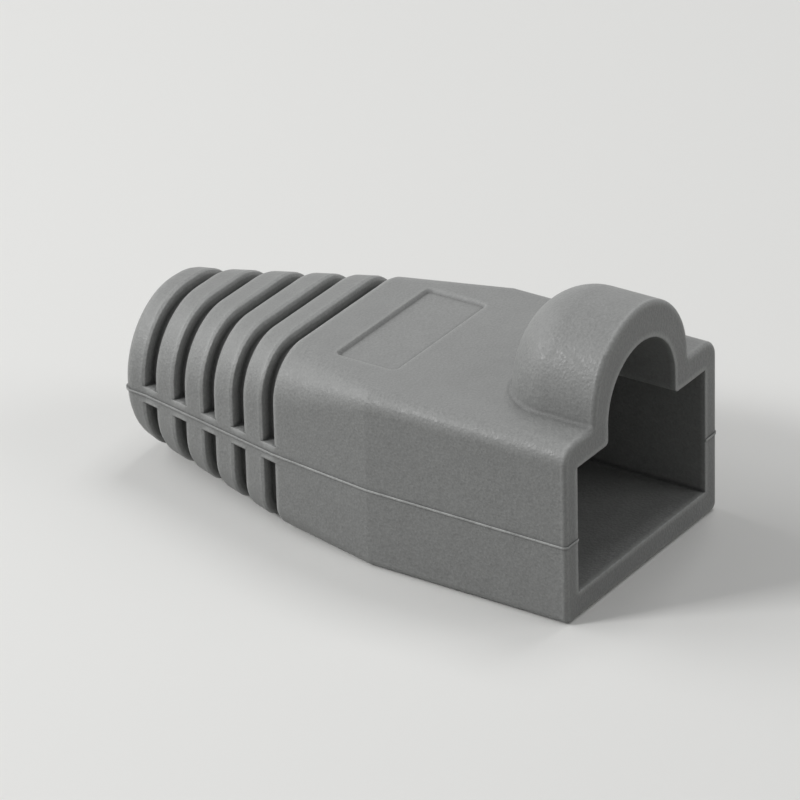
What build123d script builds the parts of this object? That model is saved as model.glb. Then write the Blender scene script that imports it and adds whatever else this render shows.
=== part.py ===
from build123d import *

import math
import os

# A slip-on strain relief boot for an eight-contact modular plug, moulded in one piece from soft PVC.
# A rectangular hood closes over the back of the plug. A domed arch on its roof covers the plug's latch.
# Behind the hood the sides draw in, and a ribbed tail leads the cable out through a round bore.
# The mouth faces -Y, the cable leaves along +Y, and the flat underside rests on Z = 0.

# Plug and cable that the boot fits, in millimetres
plug_width = 11.68
plug_height = 6.6
plug_side_clearance = 0.12
plug_roof_clearance = 0.2
latch_width = 6.0
latch_clearance = 0.2
cable_diameter = 6.0
cable_clearance = 0.3

# Hood
side_wall = 1.1
roof_wall = 1.4
hood_roof_corner = 0.95
hood_floor_corner = 0.45
root_roof_corner = 2.6
root_floor_corner = 1.5
straight_length = 11.5
taper_length = 6.0
taper_in = 0.7
parting_z = 4.3
rim_round = 0.22
room_depth = 11.6
funnel_length = 5.6
funnel_flare = 1.2

# Arch over the latch, with its closed rear end
arch_wall = 1.25
arch_length = 6.0
arch_shoulder = 3.0
arch_middle_rise = 0.3
arch_foot_round = 0.2
slot_middle_drop = 0.35
slot_foot_round = 0.25

# Ribbed tail
groove_count = 5
groove_width = 0.65
groove_depth = 0.7
rib_width = 1.45
rib_round = 0.25
tail_flat = 0.9
tail_floor_corner = 3.4
spine_height = 0.9
bridge_width = 1.0
bridged_grooves = 3

# End ring
ring_length = 1.45
ring_wall = 1.15
ring_taper = 0.1
ring_lift = 0.3
ring_flat = 0.2
ring_lip = 0.55
bore_lip = 0.12

# Label panels and the moulding's parting bead
panel_width = 8.4
panel_length = 3.6
panel_depth = 0.16
panel_corner = 0.35
panel_slope = 45
bead_height = 0.12
bead_proud = 0.05

# Sizes worked out from the ones above
room_width = plug_width + plug_side_clearance
room_height = plug_height + plug_roof_clearance
hood_width = room_width + 2 * side_wall
hood_height = room_height + 2 * roof_wall
root_width = hood_width - 2 * taper_in
slot_radius = (latch_width + latch_clearance) / 2
arch_radius = slot_radius + arch_wall
bore_radius = (cable_diameter + cable_clearance) / 2
ring_radius = bore_radius + ring_wall
tail_radius = ring_radius + ring_taper
bore_z = ring_radius + ring_lift
pitch = groove_width + rib_width
tail_length = groove_count * pitch - rib_width
length = straight_length + taper_length + tail_length + ring_length
overlap = 2 * rib_round

# Stations along the boot, from the mouth to the end of the tail
mouth_y = -length / 2
shoulder_y = mouth_y + straight_length
root_y = shoulder_y + taper_length
ring_y = root_y + tail_length
end_y = ring_y + ring_length

# Tolerance for picking edges and faces by their place
near = 0.001

# The outer skin at its stations: station, width, height, middle height, upper and lower corner radius
tail_roof_corner = tail_radius - tail_flat / 2
ring_corner = ring_radius - ring_flat / 2
skin_stations = (
    (mouth_y, hood_width, hood_height, hood_height / 2, hood_roof_corner, hood_floor_corner),
    (shoulder_y, hood_width, hood_height, hood_height / 2, hood_roof_corner, hood_floor_corner),
    (root_y, root_width, hood_height, hood_height / 2, root_roof_corner, root_floor_corner),
    (ring_y, 2 * tail_radius, 2 * tail_radius, bore_z, tail_roof_corner, tail_floor_corner),
    (end_y, 2 * ring_radius, 2 * ring_radius, bore_z, ring_corner, ring_corner),
)


def across(y):
    """The plane across the boot at station y: its own x and y are the boot's X and Z."""
    return Plane.XZ.offset(-y)


def skin_section(y, inset=0.0):
    """The outline of the outer skin at station y, or one that lies inset under it."""
    for one, two in zip(skin_stations, skin_stations[1:]):
        if one[0] - near <= y <= two[0] + near:
            t = (y - one[0]) / (two[0] - one[0])
            width, height, middle, upper, lower = [p + t * (q - p) for p, q in zip(one[1:], two[1:])]
    with BuildSketch(across(y)) as section:
        with Locations((0, middle)):
            Rectangle(width - 2 * inset, height - 2 * inset)
        fillet(section.vertices().group_by(Axis.Y)[-1], upper - inset)
        fillet(section.vertices().group_by(Axis.Y)[0], lower - inset)
    return section.sketch


def soft_end(y, side, radius=rib_round, steps=2):
    """Outlines that round the skin off at station y, in flat steps. The body lies behind y for side 1, before it for -1."""
    turns = [math.pi / 2 * i / steps for i in range(steps + 1)]
    return [skin_section(y + side * radius * (1 - math.cos(a)), radius * (1 - math.sin(a))) for a in turns]


def rib(start):
    """One rib of the tail: a slice of the skin with soft edges all round."""
    with BuildPart() as body:
        loft([*soft_end(start, 1), *reversed(soft_end(start + rib_width, -1))], ruled=True)
    return body.part


def latch_form(radius, middle_z, depth, shoulder, foot_z):
    """A half-round form about middle_z, closed behind with a rounded shoulder, with straight sides down to foot_z."""
    with BuildPart() as form:
        with BuildSketch(across(mouth_y)):
            with Locations((0, middle_z)):
                Circle(radius)
                Rectangle(2 * radius, radius, align=(Align.CENTER, Align.MAX), mode=Mode.SUBTRACT)
                Rectangle(2 * radius, middle_z - foot_z, align=(Align.CENTER, Align.MAX))
        extrude(amount=-depth)
        rear = form.faces().sort_by(Axis.Y)[-1]
        fillet(rear.edges().sort_by(Axis.Z)[1:], shoulder)
    return form.part


arch = latch_form(
    arch_radius, hood_height + arch_middle_rise, arch_length, arch_shoulder, hood_height - roof_wall / 2
)
latch_room = latch_form(
    slot_radius, hood_height - slot_middle_drop, arch_length - arch_wall, arch_shoulder - arch_wall, hood_height / 2
)

# The way of the cable, as the solid that is cut away: the funnel behind the plug's room, then the bore with its lip
with BuildPart() as cable_way:
    with BuildSketch(Plane.YZ):
        with BuildLine():
            funnel_y = mouth_y + room_depth
            Polyline(
                (funnel_y, bore_z),
                (funnel_y, bore_z + room_width / 2 + funnel_flare),
                (funnel_y + funnel_length, bore_z + bore_radius),
                (funnel_y + funnel_length, bore_z),
                close=True,
            )
        make_face()
    revolve(axis=Axis((0, 0, bore_z), (0, 1, 0)))
    with BuildSketch(across(funnel_y)):
        with Locations((0, hood_height / 2)):
            Rectangle(room_width, room_height)
    extrude(amount=-funnel_length, mode=Mode.INTERSECT)
    with BuildSketch(Plane.YZ):
        with BuildLine():
            Polyline(
                (funnel_y + funnel_length, bore_z),
                (funnel_y + funnel_length, bore_z + bore_radius),
                (end_y - bore_lip, bore_z + bore_radius),
                (end_y + bead_proud, bore_z + bore_radius + bore_lip + bead_proud),
                (end_y + bead_proud, bore_z),
                close=True,
            )
        make_face()
    revolve(axis=Axis((0, 0, bore_z), (0, 1, 0)))

# Where the strips run that cross the grooves: a spine on both sides, and bridges underneath near the end ring
with BuildPart() as strip_space:
    with BuildSketch(across(root_y - overlap)):
        with Locations((0, parting_z)):
            Rectangle(2 * hood_width, spine_height)
    extrude(amount=-(tail_length + 2 * overlap))
    first_bridge_y = ring_y + rib_width - bridged_grooves * pitch - overlap
    with BuildSketch(across(first_bridge_y)):
        with Locations((0, parting_z)):
            Rectangle(bridge_width, hood_height, align=(Align.CENTER, Align.MAX))
    extrude(amount=-(ring_y + overlap - first_bridge_y))

# The strips themselves, flush with the outer skin
with BuildPart() as strips:
    loft([skin_section(y) for y in (root_y - overlap, root_y, ring_y, ring_y + overlap)], ruled=True)
    add(strip_space.part, mode=Mode.INTERSECT)

ribs = [rib(root_y + groove_width + i * pitch) for i in range(groove_count - 1)]

with BuildPart() as boot:
    # Hood: straight behind the mouth, then drawn in to the root of the tail
    extrude(skin_section(mouth_y), amount=-straight_length)
    loft([skin_section(shoulder_y), *reversed(soft_end(root_y, -1))], ruled=True)

    # Arch, with a small fillet at its foot, and the soft outer rim of the mouth
    add(arch)
    foot = [
        e for e in boot.edges().filter_by_position(Axis.Z, hood_height - near, hood_height + near)
        if abs((e @ 0.5).X) < arch_radius + near and (e @ 0.5).Y < mouth_y + arch_length + near
    ]
    fillet(foot, arch_foot_round)
    mouth = boot.faces().sort_by(Axis.Y)[0]
    fillet(mouth.outer_wire().edges(), rim_round)

    # Tail: the core at the depth of the grooves, the ribs on it, the end ring and the strips across the grooves
    loft([skin_section(y, groove_depth) for y in (root_y, ring_y)], ruled=True)
    add(ribs)
    loft([*soft_end(ring_y, 1), *reversed(soft_end(end_y, -1, ring_lip, 4))], ruled=True)
    add(strips.part)

    # Parting bead along both sides and across the walls of the mouth and the end ring
    with BuildSketch(Plane.XY.offset(parting_z - bead_height / 2)):
        with BuildLine():
            side = [
                (hood_width / 2 + bead_proud, mouth_y - bead_proud),
                (hood_width / 2 + bead_proud, shoulder_y),
                (root_width / 2 + bead_proud, root_y),
                (tail_radius + bead_proud, ring_y),
                (ring_radius + bead_proud, end_y + bead_proud),
            ]
            Polyline(*side, *[(-x, y) for x, y in reversed(side)], close=True)
        make_face()
        fillet(vertices().group_by(Axis.Y)[0], rim_round + bead_proud)
        fillet(vertices().group_by(Axis.Y)[-1], ring_lip)
    extrude(amount=bead_height)

    # Plug room, latch slot with its rounded foot, and the way of the cable
    with BuildSketch(across(mouth_y - bead_proud)):
        with Locations((0, hood_height / 2)):
            Rectangle(room_width, room_height)
    extrude(amount=-(bead_proud + room_depth), mode=Mode.SUBTRACT)
    add(latch_room, mode=Mode.SUBTRACT)
    ceiling_z = hood_height - roof_wall
    slot_foot = [
        e for e in boot.edges().filter_by_position(Axis.Z, ceiling_z - near, ceiling_z + near)
        if abs((e @ 0.5).X) < slot_radius + near and mouth_y + near < (e @ 0.5).Y < mouth_y + arch_length
    ]
    fillet(slot_foot, slot_foot_round)
    add(cable_way.part, mode=Mode.SUBTRACT)

    # Bare label panels in the roof and the underside, with sloping sides
    for face_z, inwards in ((hood_height, -1), (0, 1)):
        middle = (0, shoulder_y + panel_length / 2, face_z)
        with BuildSketch(Plane(middle, x_dir=(1, 0, 0), z_dir=(0, 0, inwards))) as panel:
            Rectangle(panel_width, panel_length)
            fillet(panel.vertices(), panel_corner)
        extrude(amount=panel_depth, taper=panel_slope, mode=Mode.SUBTRACT)

boot.part.label = "boot"
os.makedirs("parts", exist_ok=True)
export_step(boot.part, "parts/boot.step")
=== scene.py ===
# %% [markdown]
# # A moulded strain relief boot
# The real thing is one shot of soft, plasticised PVC, about 28 mm long, that slips over the back of a
# network plug. Its shape comes as a finished solid at true size: the hood, the arch over the latch, the
# ribbed tail and the end ring. This file gives that solid what a mould and a material give it, which is its
# grain, its creases and its softened edges, and then a floor, lights and a camera.

import math

import bpy
import numpy as np
from mathutils import Matrix, Vector

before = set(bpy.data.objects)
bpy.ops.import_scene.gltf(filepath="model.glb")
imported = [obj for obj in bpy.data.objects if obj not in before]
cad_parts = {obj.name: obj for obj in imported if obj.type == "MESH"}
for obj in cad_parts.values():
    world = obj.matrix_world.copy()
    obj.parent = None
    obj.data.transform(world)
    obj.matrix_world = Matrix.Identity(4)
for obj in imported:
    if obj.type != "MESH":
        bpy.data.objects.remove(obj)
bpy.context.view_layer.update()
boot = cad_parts["boot"]
print("boot:", len(boot.data.polygons), "triangles")

# %% [markdown]
# ## Units and colours
# Blender works in metres and in linear light, but the finish of a small moulding is thought of in
# millimetres, and its colour is read off a screen as a hex code. Both could be worked out by hand each
# time. Two short functions keep the numbers below in the units in which they were measured.

# %% Units and colours
MM = 0.001


def repeats(size_mm):
    """Repeats in a metre of a pattern whose grains or spots are size_mm across."""
    return 1.0 / (size_mm * MM)


def srgb(code):
    """The linear colour of an sRGB hex code: each channel is undone from the display's gamma curve."""
    channels = [int(code[i:i + 2], 16) / 255 for i in (1, 3, 5)]
    linear = [c / 12.92 if c <= 0.04045 else ((c + 0.055) / 1.055) ** 2.4 for c in channels]
    return (*linear, 1.0)


# %% [markdown]
# ## A helper for nodes
# A material is a small tree of nodes, and each node needs its settings and its links. One function does
# that for every kind of node, so the tree below reads as a list of what is mixed with what.

# %% Add a node to a tree
def add_node(tree, kind, settings=None, **links):
    """Adds a node, sets its attributes and fills its inputs, by name or by number as i0, i1 and so on."""
    node = tree.nodes.new(kind)
    for name, value in (settings or {}).items():
        setattr(node, name, value)
    for name, value in links.items():
        by_number = name[0] == "i" and name[1:].isdigit()
        socket = node.inputs[int(name[1:]) if by_number else name.replace("_", " ")]
        if isinstance(value, bpy.types.NodeSocket):
            tree.links.new(value, socket)
        else:
            socket.default_value = value
    return node


# %% [markdown]
# ## Spark-eroded soft PVC
# The mould for such a boot is eaten out of steel by sparks, which leaves the steel covered in shallow round
# pits. Soft PVC copies them as a fine, even grain that glitters a little where a lamp is mirrored. A
# picture of the grain could be wrapped round the part, but it would need a layout without seams. Noise and
# Voronoi textures on Object coordinates fill the whole space instead, so the grain runs round every rib and
# corner at the same size. The real grain may be finer. Here it is as coarse as it needs to be to show.
#
# Three things come from the shape. The steel can't be cut perfectly sharp, so every edge catches a thin
# line of light. The Bevel node gives the shading that small radius, and an Ambient Occlusion node that
# looks into the solid finds the edges, where little material lies behind the surface, and makes them a
# little smoother and paler: the paleness is a painted highlight along each edge, with a little wear in it.
# Another one looks outwards and finds the creases, such as the foot of the arch, which have no shine and
# are darkened with painted shade. And the mould closes in two halves: where they meet, a thin skin of
# PVC creeps out and stays as a pale, broken line. It is found by its height, on the faces that look away
# from the boot's middle.

# %% Spark-eroded soft PVC
# Sizes in millimetres: the four patterns, the grain's relief, edges and creases, and the parting line, which
# fades between two places along the boot
grain_mm, pit_mm, mottle_mm, cloud_mm = 0.12, 0.16, 0.9, 4.0
grain_relief_mm, edge_radius_mm, edge_reach_mm, crease_reach_mm = 0.011, 0.13, 0.35, 0.28
parting_height_mm, parting_half_mm = 4.3, 0.09
parting_fades_from_mm, parting_fades_to_mm = 1, 5

# How far each pattern swings the tone either way, the tone of the painted shade at creases, of the painted
# highlight and wear at edges and of the parting line, and the shares of that line that are left where it
# breaks and at the tail
grain_swing, pit_swing, mottle_swing, cloud_swing = 0.28, 0.07, 0.07, 0.05
crease_shade_tone, edge_wear_and_highlight_tone, parting_tone = 0.55, 1.45, 1.5
parting_in_breaks, parting_at_tail = 0.3, 0.25

# Roughness from the bottom to the top of the grain, and what pits, creases and edges add to it
smooth_grain, rough_grain = 0.4, 0.64
pit_roughness, crease_roughness, edge_roughness = 0.13, 0.55, -0.08
pvc_ior = 1.53


def spark_eroded_pvc(base_hex):
    """Spark-eroded soft PVC: grain, parting line, painted shade in dull creases, painted highlight and wear
    on edges.
    """
    material = bpy.data.materials.new("spark_eroded_pvc")
    material.use_nodes = True
    tree = material.node_tree
    shader = tree.nodes["Principled BSDF"]
    place = add_node(tree, "ShaderNodeTexCoord").outputs["Object"]

    # Patterns, from the finest to the broadest
    grain = add_node(
        tree, "ShaderNodeTexNoise", Vector=place, Scale=repeats(grain_mm), Detail=2.0, Roughness=0.6
    )
    pits = add_node(tree, "ShaderNodeTexVoronoi", Vector=place, Scale=repeats(pit_mm))
    mottle = add_node(tree, "ShaderNodeTexNoise", Vector=place, Scale=repeats(mottle_mm), Detail=2.0)
    cloud = add_node(tree, "ShaderNodeTexNoise", Vector=place, Scale=repeats(cloud_mm), Detail=3.0)

    # Edges, where the material behind the surface is thin, and creases, where the space before it is narrow
    soft = add_node(tree, "ShaderNodeBevel", {"samples": 6}, Radius=edge_radius_mm * MM)
    inwards = {"samples": 8, "inside": True, "only_local": True}
    behind = add_node(tree, "ShaderNodeAmbientOcclusion", inwards, Distance=edge_reach_mm * MM)
    # Paler edges in the tone below: a painted highlight, with a little wear in it
    edge_wear_and_highlight = add_node(tree, "ShaderNodeMapRange", Value=behind.outputs["AO"], From_Min=0.98, From_Max=0.72)
    outwards = {"samples": 8, "only_local": True}
    before = add_node(tree, "ShaderNodeAmbientOcclusion", outwards, Distance=crease_reach_mm * MM)
    # Darker creases in the tone below: painted shade
    free = add_node(tree, "ShaderNodeMapRange", Value=before.outputs["AO"], From_Min=0.7, From_Max=0.98)

    # Parting line: near its height, on faces that look away from the boot's middle. The mottle breaks it up,
    # and it fades towards the tail.
    true_normal = add_node(tree, "ShaderNodeNewGeometry").outputs["Normal"]
    flat_place = add_node(tree, "ShaderNodeVectorMath", {"operation": "MULTIPLY"}, i0=place, i1=(1, 1, 0))
    outward = add_node(
        tree, "ShaderNodeVectorMath", {"operation": "DOT_PRODUCT"}, i0=flat_place.outputs[0], i1=true_normal
    )
    outside = add_node(
        tree, "ShaderNodeMath", {"operation": "GREATER_THAN"}, i0=outward.outputs["Value"], i1=0.0
    )
    height_of = add_node(tree, "ShaderNodeSeparateXYZ", Vector=place)
    off_line = add_node(
        tree, "ShaderNodeMath", {"operation": "SUBTRACT"}, i0=height_of.outputs["Z"],
        i1=parting_height_mm * MM,
    )
    off_line = add_node(tree, "ShaderNodeMath", {"operation": "ABSOLUTE"}, i0=off_line.outputs[0])
    flash = add_node(
        tree, "ShaderNodeMapRange", Value=off_line.outputs[0], From_Min=1.4 * parting_half_mm * MM,
        From_Max=0.6 * parting_half_mm * MM,
    )
    broken = add_node(
        tree, "ShaderNodeMapRange", Value=mottle.outputs["Fac"], From_Min=0.3, From_Max=0.6,
        To_Min=parting_in_breaks,
    )
    fading = add_node(
        tree, "ShaderNodeMapRange", Value=height_of.outputs["Y"], From_Min=parting_fades_from_mm * MM,
        From_Max=parting_fades_to_mm * MM, To_Min=1.0, To_Max=parting_at_tail,
    )
    for mask in (outside, broken, fading):
        flash = add_node(
            tree, "ShaderNodeMath", {"operation": "MULTIPLY"}, i0=flash.outputs[0], i1=mask.outputs[0]
        )

    # Tone: the base colour times one factor for each pattern, for the painted shade in creases, for the
    # painted highlight with a little wear on edges, and for the parting line
    swings = (
        (grain.outputs["Fac"], 1 - grain_swing, 1 + grain_swing),
        (pits.outputs["Color"], 1 - pit_swing, 1 + pit_swing),
        (mottle.outputs["Fac"], 1 - mottle_swing, 1 + mottle_swing),
        (cloud.outputs["Fac"], 1 - cloud_swing, 1 + cloud_swing),
        # painted shade in the creases
        (free.outputs[0], crease_shade_tone, 1.0),
        # painted highlight on the edges, with a little wear in it
        (edge_wear_and_highlight.outputs[0], 1.0, edge_wear_and_highlight_tone),
        (flash.outputs[0], 1.0, parting_tone),
    )
    tone, *factors = [
        add_node(tree, "ShaderNodeMapRange", Value=value, To_Min=low, To_Max=high).outputs[0]
        for value, low, high in swings
    ]
    for factor in factors:
        tone = add_node(tree, "ShaderNodeMath", {"operation": "MULTIPLY"}, i0=tone, i1=factor).outputs[0]
    colour =add_node(tree, "ShaderNodeVectorMath", {"operation": "SCALE"}, i0=srgb(base_hex)[:3], Scale=tone)
    tree.links.new(colour.outputs["Vector"], shader.inputs["Base Color"])

    # Shine: each pit mirrors the lamps a little differently, creases are duller and edges smoother
    shares = (
        (grain.outputs["Fac"], smooth_grain, rough_grain),
        (pits.outputs["Color"], -pit_roughness, pit_roughness),
        (free.outputs[0], crease_roughness, 0.0),
        (edge_wear_and_highlight.outputs[0], 0.0, edge_roughness),
    )
    rough, *terms = [
        add_node(tree, "ShaderNodeMapRange", Value=value, To_Min=low, To_Max=high).outputs[0]
        for value, low, high in shares
    ]
    for term in terms:
        rough = add_node(tree, "ShaderNodeMath", {"operation": "ADD"}, i0=rough, i1=term).outputs[0]
    tree.links.new(rough, shader.inputs["Roughness"])

    # Relief: the grain and the pits together, on the softened normal
    height = add_node(
        tree, "ShaderNodeMath", {"operation": "ADD"}, i0=grain.outputs["Fac"], i1=pits.outputs["Distance"]
    )
    bump = add_node(
        tree, "ShaderNodeBump", Strength=1.0, Distance=grain_relief_mm * MM, Height=height.outputs[0],
        Normal=soft.outputs[0],
    )
    tree.links.new(bump.outputs[0], shader.inputs["Normal"])
    shader.inputs["IOR"].default_value = pvc_ior
    return material


boot.data.materials.clear()
boot.data.materials.append(spark_eroded_pvc("#868786"))
print("boot: spark-eroded soft PVC,", len(boot.data.materials[0].node_tree.nodes), "nodes")

# %% [markdown]
# ## Studio surroundings
# The boot stands in a plain white studio. A pale floor and a white world look right behind it, but in a
# real studio a dark part picks up less light from below than such a floor would throw at it. Light Path
# tells the rays apart: the camera, mirrors and glass see the pale floor and the white world, and the light
# that only brightens the boot comes from a dimmer world and a greyer floor.

# %% Rays that see the studio
def sees_studio(tree):
    """1 for rays that show the surroundings, to the camera, in gloss or through glass, and 0 for others."""
    path = add_node(tree, "ShaderNodeLightPath")
    seen = path.outputs["Is Camera Ray"]
    for kind in ("Is Glossy Ray", "Is Transmission Ray"):
        seen = add_node(
            tree, "ShaderNodeMath", {"operation": "MAXIMUM"}, i0=seen, i1=path.outputs[kind]
        ).outputs[0]
    return seen


# %% [markdown]
# ## Floor
# A studio floor is matt paper. A level square is enough, because the camera looks down on it and never sees
# its end.

# %% Floor
floor_half = 0.4
corners = floor_half * np.array([(-1, -1, 0), (1, -1, 0), (1, 1, 0), (-1, 1, 0)], float)
floor_mesh = bpy.data.meshes.new("floor")
floor_mesh.from_pydata(corners.tolist(), [], [(0, 1, 2, 3)])
floor = bpy.data.objects.new("floor", floor_mesh)
bpy.context.scene.collection.objects.link(floor)

# Matt paper, dull all over and without a mirrored lamp
paper_that_lights, paper_that_shows, paper_roughness = "#959593", "#ececea", 0.9
paper = bpy.data.materials.new("matt_paper")
paper.use_nodes = True
paper_tree = paper.node_tree
paper_shader = paper_tree.nodes["Principled BSDF"]
paper_colour = add_node(
    paper_tree, "ShaderNodeMix", {"data_type": "RGBA"}, i0=sees_studio(paper_tree),
    i6=srgb(paper_that_lights), i7=srgb(paper_that_shows),
)
paper_tree.links.new(paper_colour.outputs[2], paper_shader.inputs["Base Color"])
paper_shader.inputs["Roughness"].default_value = paper_roughness
floor_mesh.materials.append(paper)
print("floor:", 2 * floor_half, "m square")

# %% [markdown]
# ## World
# The world is the light that comes from everywhere, as in a white tent. Its strength is 1 where it is seen,
# which is white, and less where it only lights.

# %% World
world_strength = 0.18
world = bpy.data.worlds.new("studio")
world.use_nodes = True
bpy.context.scene.world = world
background = world.node_tree.nodes["Background"]
background.inputs["Color"].default_value = (1, 1, 1, 1)
strength = add_node(
    world.node_tree, "ShaderNodeMapRange", Value=sees_studio(world.node_tree), To_Min=world_strength,
    To_Max=1.0,
)
world.node_tree.links.new(strength.outputs[0], background.inputs["Strength"])
print("world: strength", world_strength, "where it lights and 1 where it is seen")

# %% [markdown]
# ## Directions
# Lamps and the camera all stand round the boot and look at it. Each place is an azimuth round the boot (0
# is in front of the mouth, -90 faces the side that the camera sees), an elevation and a distance, which are
# easier to think in than coordinates. A lamp and a camera both look along their own -Z, so the Z axis
# points back from the boot to where it stands.

# %% Directions
aim_y_mm, aim_z_mm = 0.125, 5.4
aim = Vector((0, aim_y_mm * MM, aim_z_mm * MM))


def look_from(azimuth, elevation, distance, roll=0.0):
    """The matrix of something that stands at those angles and looks at the boot, turned by roll."""
    a, e = math.radians(azimuth), math.radians(elevation)
    towards = Vector((math.sin(a) * math.cos(e), -math.cos(a) * math.cos(e), math.sin(e)))
    turn = towards.to_track_quat("Z", "Y").to_matrix().to_4x4() @ Matrix.Rotation(math.radians(roll), 4, "Z")
    return Matrix.Translation(aim + towards * distance) @ turn


# %% [markdown]
# ## Lights
# The grain only shows under light that rakes over it. The key is a small softbox low behind the seen side:
# it makes the roof the lightest face, draws a bright line along the near upper edge and puts the glitter on
# the arch. A wide one behind the tail lights the ribs and carries that line on. One high on the far side
# opens up the roof, and a weak one in front lifts the faces round the mouth, which are the darkest on the
# real part too.

# %% Softboxes
def softbox(name, azimuth, elevation, distance, side, power):
    """A square area lamp that faces the boot."""
    lamp = bpy.data.lights.new(name, "AREA")
    lamp.size = side
    lamp.energy = power
    holder = bpy.data.objects.new(name, lamp)
    holder.matrix_world = look_from(azimuth, elevation, distance)
    bpy.context.scene.collection.objects.link(holder)
    print(name, "softbox:", power, "W at azimuth", azimuth, "and elevation", elevation)


softbox("key", azimuth=-131, elevation=33, distance=0.35, side=0.08, power=0.58)
softbox("rear", azimuth=-168, elevation=36, distance=0.35, side=0.25, power=0.4)
softbox("high", azimuth=90, elevation=65, distance=0.35, side=0.14, power=0.26)
softbox("front", azimuth=25, elevation=35, distance=0.4, side=0.2, power=0.22)

# %% [markdown]
# ## Camera
# The camera stands where the photograph was taken from, about 0.3 m away and some 28 degrees up. That place
# sets the perspective, and a longer lens than the photograph's frames this one boot.

# %% Camera
camera_azimuth, camera_elevation, camera_distance_mm, camera_roll = -55.8, 27.6, 314.7, -1.5
lens_mm, sensor_mm, nearest_seen_mm = 285, 36, 10
camera_data = bpy.data.cameras.new("camera")
camera_data.lens = lens_mm
camera_data.sensor_width = sensor_mm
camera_data.clip_start = nearest_seen_mm * MM
camera = bpy.data.objects.new("camera", camera_data)
camera.matrix_world = look_from(camera_azimuth, camera_elevation, camera_distance_mm * MM, camera_roll)
bpy.context.scene.collection.objects.link(camera)
bpy.context.scene.camera = camera
bpy.context.scene.view_settings.view_transform = "Standard"
print("camera:", camera_distance_mm, "mm away, lens", lens_mm, "mm")
